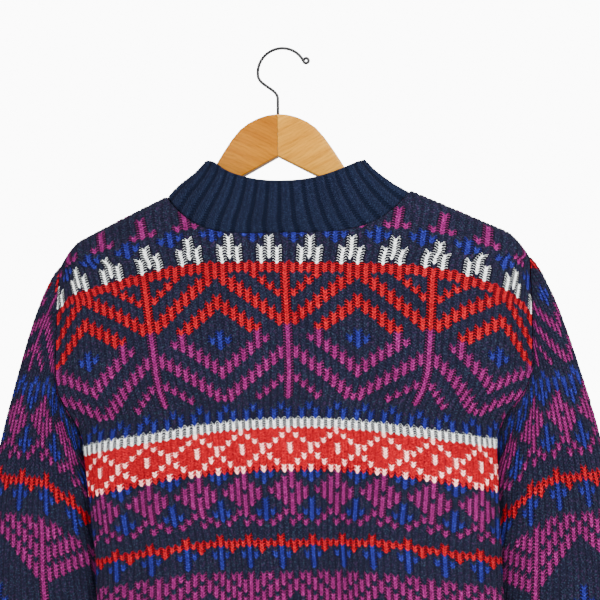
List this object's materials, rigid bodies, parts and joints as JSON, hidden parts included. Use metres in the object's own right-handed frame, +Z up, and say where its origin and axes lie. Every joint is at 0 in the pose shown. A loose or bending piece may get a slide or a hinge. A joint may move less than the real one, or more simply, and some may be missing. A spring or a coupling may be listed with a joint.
{
  "type": "knitted jumper on a coat hanger",
  "caption": "Fair isle jumper with a ribbed funnel collar, cuffs and hem, hung open and empty on a contoured two-piece wooden hanger with a round wire hook.",
  "frame": {"origin": "inside top of the hook's round part, where a rail holds it", "axes": "+Z up, the jumper's back faces -Y, its left sleeve is at -X"},
  "size_m": [0.706, 0.1289, 0.7795],
  "materials": {
    "stranded_knit": "matt wool, stranded colour work",
    "rib_knit": "matt wool, ribbed",
    "varnished_wood": "satin varnish",
    "dark_wire": "dark plated wire"
  },
  "bodies": {
    "root": {"back": "stranded_knit", "front": "stranded_knit", "sleeve_left": "stranded_knit", "sleeve_right": "stranded_knit", "collar": "rib_knit", "cuff_left": "rib_knit", "cuff_right": "rib_knit", "hem_rib": "rib_knit", "hanger_left": "varnished_wood", "hanger_right": "varnished_wood", "hook": "dark_wire"}
  },
  "joints": []
}
